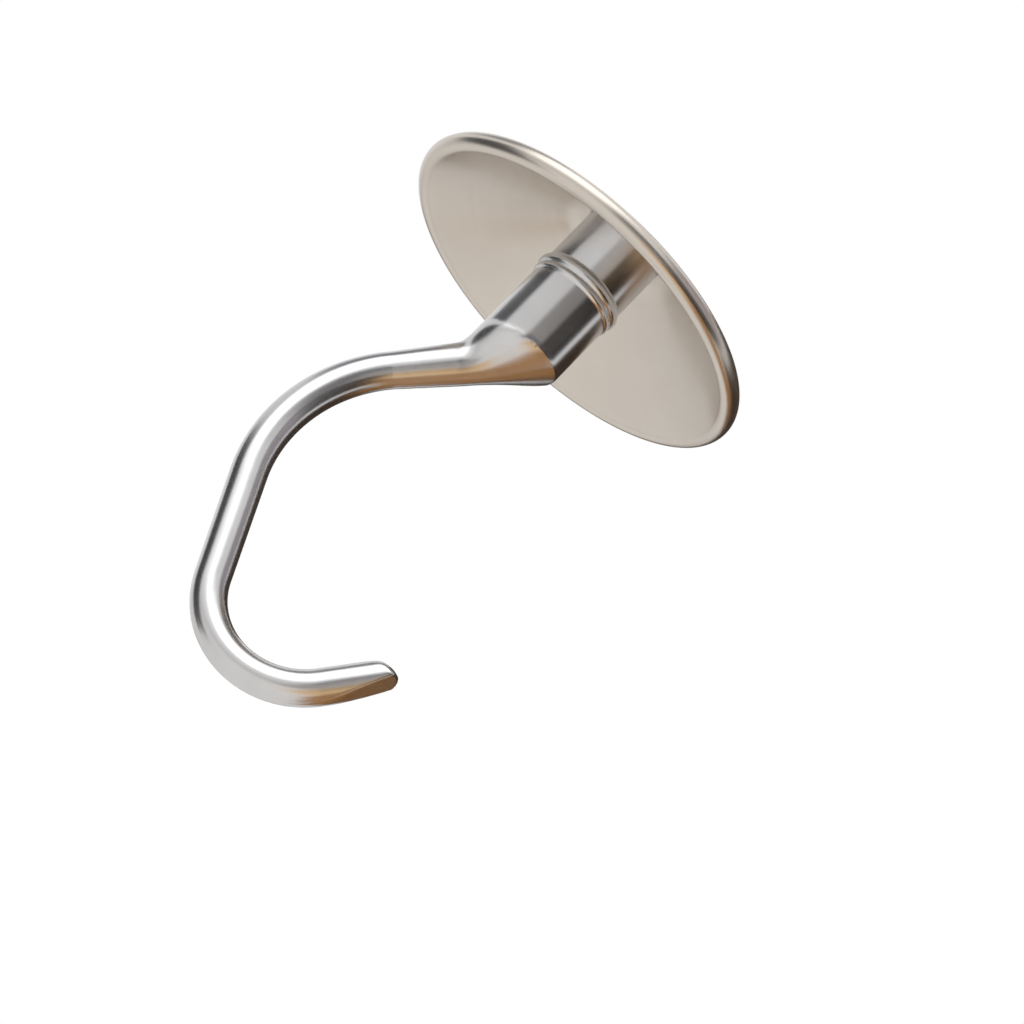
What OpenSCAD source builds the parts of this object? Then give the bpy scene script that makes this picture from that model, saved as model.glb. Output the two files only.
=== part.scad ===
// Dough hook of a stand mixer: one cast steel hook with a drive hub, and a pressed guard
// seated on the hub. The origin is the mouth of the drive socket, +Z up along the hub,
// and the hook lies in the XZ plane, bulging to -X with its tip at +X.

/* [Drive hub] */
// Outside diameter of the hub
hub_d = 20; // [18.2:0.1:24]
// Length of the hub, from the socket's mouth to the heel
hub_length = 37.3; // [34:0.1:50]
// Diameter of the drive socket
socket_d = 12.5; // [8:0.1:13]
// Depth of the drive socket
socket_depth = 27; // [20:0.5:30]
// Width of the bayonet slot that takes the drive pin
slot_w = 4; // [3:0.1:5]
// Drop of the bayonet slot, from the mouth to the top of its side leg
slot_drop = 7; // [5:0.5:8]
// Turn of the bayonet slot's side leg, in degrees
slot_turn = 42; // [25:1:60]
// Height of the catch at the end of the side leg
slot_catch = 1.4; // [0.5:0.1:2]

/* [Collar] */
// Distance from the socket's mouth to the top of the collar
collar_drop = 16.8; // [14:0.1:20]
// Outside diameter of the collar's upper bead
upper_bead_d = 21.8; // [21:0.1:26]
// Height of the collar's upper bead
upper_bead_h = 2.9; // [1.5:0.1:4]
// Outside diameter of the collar's lower bead
lower_bead_d = 21; // [20.4:0.1:25]
// Height of the collar's lower bead
lower_bead_h = 1.6; // [1:0.1:3]

/* [Arm] */
// Diameter of the arm on the hub's axis, from where it tapers
arm_root_d = 10.5; // [9.4:0.1:12]
// Diameter of the rod in the shoulder bend, from where it tapers again
shoulder_d = 8.2; // [7:0.1:9.4]
// Diameter of the rod in the bottom bend and at the tip
rod_d = 8; // [6:0.1:9]
// Drop of the arm's centre line below the heel, on the hub's axis
arm_drop = 3.2; // [1:0.1:4]
// Angle at which the arm leaves the hub, from straight down
arm_angle = 43; // [30:0.5:60]
// Length of the straight arm, from the hub's axis to the first bend
arm_length = 25.9; // [18:0.1:30]
// Radius of the shoulder bend, at the rod's centre
shoulder_r = 35.8; // [30:0.1:50]
// Turn of the shoulder bend, in degrees
shoulder_turn = 67.2; // [55:0.1:80]
// Length of the straight between the two bends
shank_length = 25.3; // [10:0.1:40]
// Radius of the bottom bend, at the rod's centre
belly_r = 20.2; // [14:0.1:30]
// Turn of the bottom bend, in degrees
belly_turn = 115.9; // [90:0.1:130]
// Length of the straight that ends in the rounded tip
tip_length = 10.5; // [8:0.5:24]
// Drop of the centre of the tip's rounding, from the rod's axis to its outer side
nose_drop = 2; // [0.5:0.1:2.5]
// Length of the flat that is ground on the tip's outer side
flat_length = 15; // [6:0.5:16]
// Depth of that flat at the tip's end
flat_depth = 3; // [0.5:0.1:3.4]

/* [Root of the arm] */
// Length of the root, along the arm from the hub's axis
root_length = 11.5; // [10:0.5:15]
// Drop of the upper end of the inner fillet below the heel
throat_top = 2.2; // [0.5:0.1:2.6]
// Drop of the corner that the inner fillet rounds, below the heel
throat_drop = 5.8; // [4.5:0.1:6]
// Slope of the cut across the heel, from level, in degrees
heel_slope = 12; // [10:1:16]
// Slope of the hub's end under the inner fillet, from level, in degrees
throat_slope = 52; // [45:1:60]

/* [Guard] */
// Outside diameter of the guard
guard_d = 89; // [70:0.5:110]
// Depth of the guard, from the seat on the hub to the underside of its rim
guard_depth = 17.9; // [14:0.1:22]
// Thickness of the guard's sheet
sheet = 1; // [0.6:0.1:1.4]
// Diameter of the guard's flat seat
seat_d = 25; // [22:0.5:30]
// Outside diameter of the guard's rolled rim
rim_d = 4.6; // [3.4:0.1:6]
// Gap between the rolled edge and the top of the guard
rim_gap = 0.4; // [0.2:0.1:0.8]
// Diameter of the hub's spigot through the guard
spigot_d = 16.6; // [15.5:0.1:17]
// Diameter of the peened lip that holds the guard on the spigot
lip_d = 18; // [17.2:0.1:19]
// Height of the peened lip above the guard
lip_h = 1.6; // [1:0.1:2.5]

/* [Hidden] */
// Radial clearance between the spigot and the guard's hole
spigot_clearance = 0.1;
// Overrun of every cut
over = 1;
// Rounding of the peened lip
lip_round = 0.7;
// Inset of the root's surface inside the turned hub and inside the arm
root_inset = 0.2;
// How far the balls that join the rod's straights and bends stand proud
joint_proud = 0.02;
// Inset of the guard's sheet inside the outside of its rolled rim
rim_inset = 0.02;
// How fast the root narrows from the hub to the arm
root_taper = 1.6;
// Rings and points of the root's surface
root_rings = 18;
root_points = 44;
// Radial reach of the drive pin's notch in the guard, past the hub's spigot
notch_reach = 1.6;

hub_r = hub_d / 2;
arm_root_r = arm_root_d / 2;
shoulder_rod_r = shoulder_d / 2;
rod_r = rod_d / 2;
nose_r = rod_r + nose_drop + joint_proud;
spigot_r = spigot_d / 2;
lip_r = lip_d / 2;
socket_r = socket_d / 2;
upper_bead_r = upper_bead_h / 2;
lower_bead_r = lower_bead_h / 2;
seat_z = -lip_h - sheet;
collar_z = -collar_drop;
groove_z = collar_z - upper_bead_h;
heel_z = -hub_length;
hub_foot_z = heel_z - hub_d * tan(heel_slope);
guard_r = guard_d / 2;
rim_r = rim_d / 2;
seat_r = seat_d / 2;
rim_z = seat_z - guard_depth;
rim_centre_r = guard_r - rim_r;
rim_centre_z = rim_z + rim_r;

// The guard's sheet slopes from the edge of the flat seat, and its underside runs on into the
// bottom of the rolled rim
rim_reach = [rim_centre_r - seat_r, rim_centre_z - seat_z];
dish_slope = asin((rim_r - rim_inset) / norm(rim_reach)) - atan2(rim_reach[1], rim_reach[0]);
dish_length = sqrt(pow(norm(rim_reach), 2) - pow(rim_r - rim_inset, 2));

// Heading of the rod, in degrees from straight down towards -X, after each bend
shank_angle = arm_angle - shoulder_turn;
tip_angle = shank_angle - belly_turn;

// A step along the rod's heading, and a step square to it on the tip's side, in X and Z
function along(angle) = [-sin(angle), -cos(angle)];
function across(angle) = [cos(angle), -sin(angle)];

// Where the straights and bends of the rod's centre line meet, in X and Z
arm_start = [0, heel_z - arm_drop];
arm_end = arm_start + arm_length * along(arm_angle);
shoulder_centre = arm_end + shoulder_r * across(arm_angle);
shoulder_end = shoulder_centre - shoulder_r * across(shank_angle);
shank_end = shoulder_end + shank_length * along(shank_angle);
belly_centre = shank_end + belly_r * across(shank_angle);
belly_end = belly_centre - belly_r * across(tip_angle);

$fn = 48;

// Radius of the arm's taper at a distance from the hub's axis
function arm_r(s) = arm_root_r + (shoulder_rod_r - arm_root_r) * s / arm_length;

// A point on the curve from a to b that b's control c pulls
function bend_point(a, c, b, t) = pow(1 - t, 2) * a + 2 * t * (1 - t) * c + t * t * b;

// Inner and outer outline of the root, in X and Z, from the hub at t = 0 to the arm at 1
root_end = arm_start + root_length * along(arm_angle);
root_start_r = hub_r - root_inset;
root_end_r = arm_r(root_length) - root_inset;
throat_start = [-root_start_r, heel_z - throat_top];
throat_pull = [-root_start_r, heel_z - throat_drop];
throat_end = root_end - root_end_r * across(arm_angle);
heel_start = [root_start_r, heel_z];
heel_end = root_end + root_end_r * across(arm_angle);
function throat(t) = bend_point(throat_start, throat_pull, throat_end, t);
function keel(t) = heel_start + (heel_end - heel_start) * t;
function root_half_width(t) = root_end_r + (root_start_r - root_end_r) * pow(1 - t, root_taper);

// Places a shape that is drawn round the Z axis at a point of the XZ plane, turned to
// follow the rod's heading
module at_heading(point, angle) {
    translate([point[0], 0, point[1]]) rotate([0, 180 + angle, 0]) children();
}

module straight(start, angle, length, start_r, end_r) {
    at_heading(start, angle) cylinder(h = length, r1 = start_r, r2 = end_r);
}

// A bend of the rod about a centre in the XZ plane, from one heading to the next
module bend(centre, radius, angle, turn, thickness) {
    translate([centre[0], 0, centre[1]])
        rotate([90, 0, 0])
            rotate([0, 0, 180 - angle])
                rotate_extrude(angle = turn)
                    translate([radius, 0]) circle(r = thickness);
}

// A ball that joins two stretches of the rod
module ball(point, radius) {
    translate([point[0], 0, point[1]]) sphere(r = radius + joint_proud);
}

// Half of the hub's section, to the right of its axis
module hub_section() {
    translate([0, hub_foot_z]) square([hub_r, seat_z - hub_foot_z]);
    translate([0, seat_z - over]) square([spigot_r, over + sheet + over]);
    translate([0, seat_z + sheet]) square([lip_r, lip_h - lip_round]);
    translate([0, seat_z + sheet]) square([lip_r - lip_round, lip_h]);
    translate([lip_r - lip_round, -lip_round]) circle(r = lip_round);
    bead(upper_bead_d / 2, collar_z - upper_bead_r, upper_bead_r);
    bead(lower_bead_d / 2, groove_z - lower_bead_r, lower_bead_r);
}

// One rounded bead of the collar
module bead(reach, z, radius) {
    translate([0, z - radius]) square([reach - radius, 2 * radius]);
    translate([reach - radius, z]) circle(r = radius);
}

// The turned hub, whose end is cut to a blunt wedge across the heel and under the fillet
module hub() {
    difference() {
        rotate_extrude() hub_section();
        translate([hub_r, 0, heel_z]) rotate([0, -heel_slope, 0])
            translate([-2 * hub_d, -hub_d, -hub_d]) cube([3 * hub_d, 2 * hub_d, hub_d]);
        translate([-hub_r, 0, heel_z - throat_top]) rotate([0, throat_slope, 0])
            translate([-hub_d, -hub_d, -hub_d]) cube([3 * hub_d, 2 * hub_d, hub_d]);
    }
}

// The root of the arm: oval rings between its inner and outer outlines
module arm_root() {
    rings = [for (i = [0:root_rings]) let (t = i / root_rings, a = throat(t), b = keel(t),
            middle = (a + b) / 2, reach = (b - a) / 2, width = root_half_width(t))
        [for (j = [0:root_points - 1]) let (turn = 360 * j / root_points)
            [middle[0] + reach[0] * cos(turn), width * sin(turn),
             middle[1] + reach[1] * cos(turn)]]];
    points = [for (ring = rings) each ring];
    last = root_rings * root_points;
    sides = [for (i = [0:root_rings - 1]) for (j = [0:root_points - 1])
        let (k = (j + 1) % root_points, a = i * root_points, b = a + root_points)
        each [[a + j, a + k, b + k], [a + j, b + k, b + j]]];
    ends = [[for (j = [root_points - 1:-1:0]) j], [for (j = [0:root_points - 1]) last + j]];
    polyhedron(points = points, faces = concat(sides, ends), convexity = 4);
}

// The bayonet slot: a drop from the mouth, a side leg and a catch at its end
module bayonet_slot() {
    reach = hub_r + over;
    leg_z = -slot_drop - slot_w / 2;
    rotate([0, 0, 90]) {
        translate([0, -slot_w / 2, leg_z]) cube([reach, slot_w, over - leg_z]);
        translate([0, 0, leg_z]) rotate([0, 90, 0]) cylinder(h = reach, d = slot_w);
    }
    rotate([0, 0, 90]) rotate_extrude(angle = slot_turn)
        translate([0, leg_z - slot_w / 2]) square([reach, slot_w]);
    rotate([0, 0, 90 + slot_turn]) {
        translate([0, 0, leg_z]) rotate([0, 90, 0]) cylinder(h = reach, d = slot_w);
        translate([0, 0, leg_z + slot_catch]) rotate([0, 90, 0]) cylinder(h = reach, d = slot_w);
        translate([0, -slot_w / 2, leg_z]) cube([reach, slot_w, slot_catch]);
    }
}

module socket() {
    translate([0, 0, -socket_depth]) cylinder(h = socket_depth + over, r = socket_r);
}

// The tip: the straight rod, rounded off by a ball whose centre is nearer its outer side
module tip() {
    at_heading(belly_end, tip_angle) intersection() {
        cylinder(h = tip_length + nose_r + over, r = rod_r);
        union() {
            cylinder(h = tip_length, r = nose_r + nose_drop);
            translate([nose_drop, 0, tip_length]) sphere(r = nose_r);
        }
    }
}

// The flat that is ground along the outer side of the tip, deepest at its end
module tip_flat() {
    lean = atan2(flat_depth, flat_length);
    at_heading(belly_end + (tip_length + nose_r) * along(tip_angle), tip_angle)
        translate([rod_r - flat_depth, 0, 0]) rotate([0, -lean, 0])
            translate([0, -rod_d, -flat_length - rod_d])
                cube([rod_d, 2 * rod_d, flat_length + 2 * rod_d]);
}

module hook() {
    color("gainsboro") difference() {
        union() {
            hub();
            arm_root();
            straight(arm_start, arm_angle, arm_length, arm_root_r, shoulder_rod_r);
            ball(arm_end, shoulder_rod_r);
            bend(shoulder_centre, shoulder_r, arm_angle, shoulder_turn, shoulder_rod_r);
            ball(shoulder_end, shoulder_rod_r);
            straight(shoulder_end, shank_angle, shank_length, shoulder_rod_r, rod_r);
            ball(shank_end, rod_r);
            bend(belly_centre, belly_r, shank_angle, belly_turn, rod_r);
            ball(belly_end, rod_r);
            tip();
        }
        socket();
        bayonet_slot();
        tip_flat();
    }
}

// Half of the guard's section: flat seat, sloping sheet and a rim rolled over on the outside
module guard_section() {
    hole_r = spigot_r + spigot_clearance;
    dish_end = [seat_r, seat_z] + dish_length * [cos(dish_slope), -sin(dish_slope)];
    polygon([[hole_r, seat_z], [seat_r, seat_z], dish_end,
        dish_end + sheet * [sin(dish_slope), cos(dish_slope)],
        [seat_r + sheet * tan(dish_slope / 2), seat_z + sheet], [hole_r, seat_z + sheet]]);
    translate([rim_centre_r, rim_centre_z]) difference() {
        circle(r = rim_r);
        circle(r = rim_r - sheet);
        translate([-rim_d, 0]) square([rim_d, rim_gap]);
    }
}

module guard() {
    color("silver") difference() {
        rotate_extrude() guard_section();
        rotate([0, 0, 90]) translate([0, -slot_w / 2, seat_z - over])
            cube([spigot_r + notch_reach, slot_w, sheet + 2 * over]);
    }
}

hook();
guard();
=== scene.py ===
"""Looks of a stand mixer's dough hook and its guard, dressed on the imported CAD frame.

The frame stands as the CAD has it: the origin is the mouth of the drive socket, +Z points up
along the hub's axis, and the hook lies in the XZ plane. The forms below are written in
millimetres, as the CAD is, and each mesh is made in metres.
"""

import logging
import math
from collections.abc import Callable
from dataclasses import dataclass
from enum import Enum
from itertools import product
from typing import Any

import bpy
import numpy as np
from mathutils import Matrix, Vector


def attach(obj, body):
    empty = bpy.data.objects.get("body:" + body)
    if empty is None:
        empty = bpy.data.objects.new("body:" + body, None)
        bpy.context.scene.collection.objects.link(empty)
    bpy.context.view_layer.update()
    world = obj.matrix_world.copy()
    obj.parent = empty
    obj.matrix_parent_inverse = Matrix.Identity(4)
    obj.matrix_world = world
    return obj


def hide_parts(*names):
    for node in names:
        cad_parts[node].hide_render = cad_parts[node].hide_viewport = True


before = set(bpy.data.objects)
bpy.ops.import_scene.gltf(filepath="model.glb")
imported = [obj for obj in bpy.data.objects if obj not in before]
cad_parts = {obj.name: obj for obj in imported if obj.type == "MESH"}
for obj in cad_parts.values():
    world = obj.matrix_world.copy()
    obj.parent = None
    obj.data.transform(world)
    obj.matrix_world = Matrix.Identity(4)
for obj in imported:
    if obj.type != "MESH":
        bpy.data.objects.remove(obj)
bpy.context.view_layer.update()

LOG = logging.getLogger("dough_hook")
MM = 0.001
PICTURE_PX = 1024
BODY = "root"

# Between these two values lies most of what a noise gives
NOISE_LOW = 0.3
NOISE_HIGH = 0.7

# Added to a divisor that could be nothing
TINY = 1e-9


class Slot(Enum):
    """The record's material slots."""

    POLISHED = "polished_steel"
    SATIN = "satin_steel"


class Mark(Enum):
    """What the casting's mesh says at each of its points, for the finish to read."""

    TURNED = "turned"
    GRAIN = "grain"
    FLANK = "flank"


def linear(hex_colour: str) -> tuple[float, float, float, float]:
    """Turns an sRGB hex value into linear light.

    Args:
        hex_colour: Six hex digits after a hash sign.

    Returns:
        Red, green, blue and an alpha of one.
    """
    parts = [int(hex_colour[i : i + 2], 16) / 255 for i in (1, 3, 5)]
    r, g, b = (c / 12.92 if c <= 0.04045 else ((c + 0.055) / 1.055) ** 2.4 for c in parts)
    return r, g, b, 1.0


def add_node(
    tree: bpy.types.NodeTree,
    kind: str,
    links: dict[Any, Any] | None = None,
    **settings: Any,
) -> bpy.types.Node:
    """Adds one node with its settings and its links.

    Args:
        tree: The material's or world's node tree.
        kind: Blender's name of the node type.
        links: For each input, by name or number, an output socket to link or a plain value.
        **settings: Values of the node's own properties.

    Returns:
        The new node.
    """
    node = tree.nodes.new(kind)
    for name, value in settings.items():
        setattr(node, name, value)
    for name, value in (links or {}).items():
        if isinstance(value, bpy.types.NodeSocket):
            tree.links.new(value, node.inputs[name])
        else:
            node.inputs[name].default_value = value
    return node


def new_material(name: str) -> tuple[bpy.types.Material, bpy.types.NodeTree]:
    """Makes an empty node material.

    Args:
        name: The material's name.

    Returns:
        The material and its cleared node tree.
    """
    material = bpy.data.materials.new(name)
    material.use_nodes = True
    material.node_tree.nodes.clear()
    return material, material.node_tree


def clouded(
    tree: bpy.types.NodeTree,
    place: bpy.types.NodeSocket,
    size: float,
    raggedness: float,
    dull: str,
    bright: str,
) -> bpy.types.NodeSocket:
    """Lets a metal's colour drift between two near shades, in soft clouds.

    Args:
        tree: The material's node tree.
        place: Output that gives the place on the piece, in metres.
        size: How wide a cloud is, in metres.
        raggedness: How rough a cloud's edge is.
        dull: The darker shade.
        bright: The brighter shade.

    Returns:
        The output that gives the colour.
    """
    links = {"Vector": place, "Scale": 1 / size, "Detail": 4.0, "Roughness": raggedness}
    cloud = add_node(tree, "ShaderNodeTexNoise", links)
    shades = {"Fac": cloud.outputs["Fac"], "Color1": linear(dull), "Color2": linear(bright)}
    return add_node(tree, "ShaderNodeMixRGB", shades).outputs[0]


@dataclass(frozen=True)
class BuffedSteel:
    """Cast stainless steel: the hub is turned, the rod is linished, and all of it is buffed.

    To the eye: bright and cool. The lathe's rings smear each reflection along the hub's axis
    into long straight bands, and the belt's marks do the same along the rod. Both lie closer
    on a real casting than a render shows, so the hairlines are drawn a quarter of a millimetre
    apart. The flanks of the lathe's rings face a little down, to the hub's foot.
    """

    name: str = "buffed_cast_stainless_steel"
    bright: str = "#d2d1d1"
    dull: str = "#bfbebf"
    cloud: float = 9 * MM
    cloud_raggedness: float = 0.55
    rod_roughness: float = 0.25
    hub_roughness: float = 0.24
    stretch: float = 0.4
    hairline: float = 0.25 * MM
    hairline_length: float = 12 * MM
    hairline_depth: float = 0.0004 * MM
    hairline_strength: float = 0.3
    wear_low: float = 0.97
    wear_high: float = 1.04

    def _hairlines(
        self, tree: bpy.types.NodeTree, place: bpy.types.NodeSocket
    ) -> bpy.types.NodeSocket:
        """Draws hairlines along the object's Z, where hub and shank run.

        Args:
            tree: The material's node tree.
            place: Output that gives the place on the piece, in metres.

        Returns:
            The output that gives the hairlines' height.
        """
        fine = (1 / self.hairline, 1 / self.hairline, 1 / self.hairline_length)
        spread = add_node(tree, "ShaderNodeMapping", {"Vector": place, "Scale": fine})
        links = {"Vector": spread.outputs[0], "Scale": 1.0, "Detail": 3.0, "Roughness": 0.6}
        return add_node(tree, "ShaderNodeTexNoise", links).outputs["Fac"]

    def _roughness(
        self, tree: bpy.types.NodeTree, hairlines: bpy.types.NodeSocket
    ) -> bpy.types.NodeSocket:
        """Sets the roughness of hub and rod, which the hairlines vary a little.

        Args:
            tree: The material's node tree.
            hairlines: Output that gives the hairlines' height.

        Returns:
            The output that gives the roughness.
        """
        turned = add_node(tree, "ShaderNodeAttribute", attribute_name=Mark.TURNED.value)
        ends = {"To Min": self.rod_roughness, "To Max": self.hub_roughness}
        even = add_node(tree, "ShaderNodeMapRange", {"Value": turned.outputs["Fac"], **ends})
        noise = {"Value": hairlines, "From Min": NOISE_LOW, "From Max": NOISE_HIGH}
        share = {"To Min": self.wear_low, "To Max": self.wear_high}
        wear = add_node(tree, "ShaderNodeMapRange", {**noise, **share})
        both = {0: even.outputs[0], 1: wear.outputs[0]}
        return add_node(tree, "ShaderNodeMath", both, operation="MULTIPLY").outputs[0]

    def _relief(
        self, tree: bpy.types.NodeTree, hairlines: bpy.types.NodeSocket
    ) -> bpy.types.NodeSocket:
        """Tips the surface down as the flanks of the lathe's rings do, and adds the hairlines.

        Args:
            tree: The material's node tree.
            hairlines: Output that gives the hairlines' height.

        Returns:
            The output that gives the surface's normal.
        """
        flank = add_node(tree, "ShaderNodeAttribute", attribute_name=Mark.FLANK.value)
        down = self._to_world(tree, (0, 0, -1))
        tip = {0: down, "Scale": flank.outputs["Fac"]}
        tilt = add_node(tree, "ShaderNodeVectorMath", tip, operation="SCALE")
        shape = add_node(tree, "ShaderNodeNewGeometry")
        sides = {0: shape.outputs["Normal"], 1: tilt.outputs[0]}
        tipped = add_node(tree, "ShaderNodeVectorMath", sides, operation="ADD")
        unit = add_node(
            tree, "ShaderNodeVectorMath", {0: tipped.outputs[0]}, operation="NORMALIZE"
        )
        relief = {
            "Height": hairlines,
            "Strength": self.hairline_strength,
            "Distance": self.hairline_depth,
            "Normal": unit.outputs[0],
        }
        return add_node(tree, "ShaderNodeBump", relief).outputs[0]

    def _to_world(self, tree: bpy.types.NodeTree, vector: Any) -> bpy.types.NodeSocket:
        """Turns a direction on the piece into one in the scene.

        Args:
            tree: The material's node tree.
            vector: The output or the plain value that gives the direction.

        Returns:
            The output that gives the turned direction.
        """
        spaces = {"vector_type": "VECTOR", "convert_from": "OBJECT", "convert_to": "WORLD"}
        return add_node(tree, "ShaderNodeVectorTransform", {0: vector}, **spaces).outputs[0]

    def build(self) -> bpy.types.Material:
        """Makes the material from the finish's values.

        Returns:
            The material, ready for a mesh.
        """
        material, tree = new_material(self.name)
        place = add_node(tree, "ShaderNodeTexCoord").outputs["Object"]
        grain = add_node(tree, "ShaderNodeAttribute", attribute_name=Mark.GRAIN.value)
        hairlines = self._hairlines(tree, place)
        shades = (self.cloud, self.cloud_raggedness, self.dull, self.bright)
        skin = {
            "Base Color": clouded(tree, place, *shades),
            "Metallic": 1.0,
            "Roughness": self._roughness(tree, hairlines),
            "Anisotropic": self.stretch,
            "Normal": self._relief(tree, hairlines),
            "Tangent": self._to_world(tree, grain.outputs["Vector"]),
        }
        shader = add_node(tree, "ShaderNodeBsdfPrincipled", skin)
        add_node(tree, "ShaderNodeOutputMaterial", {"Surface": shader.outputs[0]})
        return material


@dataclass(frozen=True)
class SatinSteel:
    """Stainless sheet, pressed and left with its satin skin.

    To the eye: an even grey that mirrors only soft shapes, with a trace of the rings that the
    spinning of its rim left. Its warm tint is a painted reflection of warm surroundings, laid on
    the sheet's own grey.
    """

    name: str = "satin_stainless_sheet"
    # Both shades carry a warm tint that is a painted reflection of warm surroundings, on the
    # sheet's own grey
    bright: str = "#cfc8bf"
    dull: str = "#c6beb5"
    cloud: float = 14 * MM
    cloud_raggedness: float = 0.6
    roughness: float = 0.3
    ring: float = 1.2 * MM
    ring_depth: float = 0.0008 * MM
    ring_strength: float = 0.2
    wear_low: float = 0.95
    wear_high: float = 1.06

    def _rings(
        self, tree: bpy.types.NodeTree, place: bpy.types.NodeSocket
    ) -> bpy.types.NodeSocket:
        """Draws faint rings round the disc's axis.

        Args:
            tree: The material's node tree.
            place: Output that gives the place on the piece, in metres.

        Returns:
            The output that gives the rings' height.
        """
        flat = add_node(
            tree, "ShaderNodeVectorMath", {0: place, 1: (1, 1, 0)}, operation="MULTIPLY"
        )
        radius = add_node(tree, "ShaderNodeVectorMath", {0: flat.outputs[0]}, operation="LENGTH")
        scale = {0: radius.outputs["Value"], 1: 1 / self.ring}
        count = add_node(tree, "ShaderNodeMath", scale, operation="MULTIPLY")
        links = {"W": count.outputs[0], "Scale": 1.0, "Detail": 2.0}
        return add_node(tree, "ShaderNodeTexNoise", links, noise_dimensions="1D").outputs["Fac"]

    def build(self) -> bpy.types.Material:
        """Makes the material from the finish's values.

        Returns:
            The material, ready for a mesh.
        """
        material, tree = new_material(self.name)
        place = add_node(tree, "ShaderNodeTexCoord").outputs["Object"]
        rings = self._rings(tree, place)
        wear = {
            "Value": rings,
            "From Min": NOISE_LOW,
            "From Max": NOISE_HIGH,
            "To Min": self.roughness * self.wear_low,
            "To Max": self.roughness * self.wear_high,
        }
        relief = {"Height": rings, "Strength": self.ring_strength, "Distance": self.ring_depth}
        shades = (self.cloud, self.cloud_raggedness, self.dull, self.bright)
        skin = {
            "Base Color": clouded(tree, place, *shades),
            "Metallic": 1.0,
            "Roughness": add_node(tree, "ShaderNodeMapRange", wear).outputs[0],
            "Normal": add_node(tree, "ShaderNodeBump", relief).outputs[0],
        }
        shader = add_node(tree, "ShaderNodeBsdfPrincipled", skin)
        add_node(tree, "ShaderNodeOutputMaterial", {"Surface": shader.outputs[0]})
        return material


def soft_min(a: np.ndarray, b: np.ndarray, blend: float) -> np.ndarray:
    """Joins two distances with a fillet.

    Args:
        a: Distances to one form.
        b: Distances to the other.
        blend: Reach of the fillet, in millimetres.

    Returns:
        Distances to both together.
    """
    share = np.maximum(blend - np.abs(a - b), 0) / blend
    return np.minimum(a, b) - share * share * blend / 4


def soft_max(a: np.ndarray, b: np.ndarray, blend: float) -> np.ndarray:
    """Keeps what two forms share, with the edge between them eased.

    Args:
        a: Distances to one form.
        b: Distances to the other.
        blend: Reach of the eased edge, in millimetres.

    Returns:
        Distances to what lies in both.
    """
    return -soft_min(-a, -b, blend)


def rounded(side: np.ndarray, top: np.ndarray, radius: float) -> np.ndarray:
    """Keeps what lies inside two faces that stand square, with their corner rounded.

    Args:
        side: Distances past the one face.
        top: Distances past the other.
        radius: Radius of the rounded corner, in millimetres.

    Returns:
        Distances to the form, true outside it and near its skin.
    """
    return np.hypot(np.maximum(side + radius, 0), np.maximum(top + radius, 0)) - radius


def along(angle: float | np.ndarray) -> np.ndarray:
    """A step along the rod's heading, in X and Z."""
    return np.stack([-np.sin(angle), -np.cos(angle)], -1)


def across(angle: float | np.ndarray) -> np.ndarray:
    """A step square to the rod's heading, on the tip's side, in X and Z."""
    return np.stack([np.cos(angle), -np.sin(angle)], -1)


@dataclass(frozen=True)
class Straight:
    """A straight stretch of rod, which may taper.

    Attributes:
        start: Middle of the rod where the stretch starts, in X and Z.
        heading: Its heading, in radians from straight down towards -X.
        length: Its length.
        start_r: The rod's radius at its start.
        end_r: The rod's radius at its end.
    """

    start: np.ndarray
    heading: float
    length: float
    start_r: float
    end_r: float

    @property
    def end(self) -> np.ndarray:
        """Middle of the rod where the stretch ends."""
        return self.start + self.length * along(self.heading)

    def distance(self, p: np.ndarray, y: np.ndarray) -> np.ndarray:
        """Distance to the stretch of rod.

        Args:
            p: X and Z of each point.
            y: Its Y.

        Returns:
            One signed distance for each point.
        """
        line = self.end - self.start
        share = np.clip(((p - self.start) @ line) / (line @ line), 0, 1)
        away = p - self.start - share[:, None] * line
        radius = self.start_r + (self.end_r - self.start_r) * share
        return np.sqrt((away * away).sum(1) + y * y) - radius

    def line(self, share: np.ndarray) -> tuple[np.ndarray, np.ndarray]:
        """The middle of the rod along the stretch.

        Args:
            share: How far along each place lies, from 0 to 1.

        Returns:
            X and Z of each place, and the heading there.
        """
        places = self.start + share[:, None] * (self.end - self.start)
        return places, np.full(len(share), self.heading)


@dataclass(frozen=True)
class Bend:
    """A bend of round rod, towards the tip's side.

    Attributes:
        start: Middle of the rod where the bend starts, in X and Z.
        heading: The heading there, in radians from straight down towards -X.
        turn: How far it turns, in radians.
        radius: Radius of the bend, at the rod's middle.
        rod_r: The rod's radius.
    """

    start: np.ndarray
    heading: float
    turn: float
    radius: float
    rod_r: float

    @property
    def last(self) -> float:
        """The heading where the bend ends."""
        return self.heading - self.turn

    @property
    def centre(self) -> np.ndarray:
        """The centre that the rod bends round."""
        return self.start + self.radius * across(self.heading)

    @property
    def end(self) -> np.ndarray:
        """Middle of the rod where the bend ends."""
        return self.centre - self.radius * across(self.last)

    def distance(self, p: np.ndarray, y: np.ndarray) -> np.ndarray:
        """Distance to the bend.

        Args:
            p: X and Z of each point.
            y: Its Y.

        Returns:
            One signed distance for each point.
        """
        reach = p - self.centre
        heading = np.arctan2(reach[:, 1], -reach[:, 0])
        past = heading > math.pi / 2 + self.heading
        heading = np.where(past, heading - 2 * math.pi, heading)
        away = reach + self.radius * across(np.clip(heading, self.last, self.heading))
        return np.sqrt((away * away).sum(1) + y * y) - self.rod_r

    def line(self, share: np.ndarray) -> tuple[np.ndarray, np.ndarray]:
        """The middle of the rod along the bend.

        Args:
            share: How far along each place lies, from 0 to 1.

        Returns:
            X and Z of each place, and the heading there.
        """
        headings = self.heading - self.turn * share
        return self.centre - self.radius * across(headings), headings


@dataclass(frozen=True)
class Bead:
    """One rounded bead of the collar.

    Attributes:
        reach: How far it stands from the hub's axis.
        z: Height of its middle.
        radius: Radius of its rounding.
    """

    reach: float
    z: float
    radius: float


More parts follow.
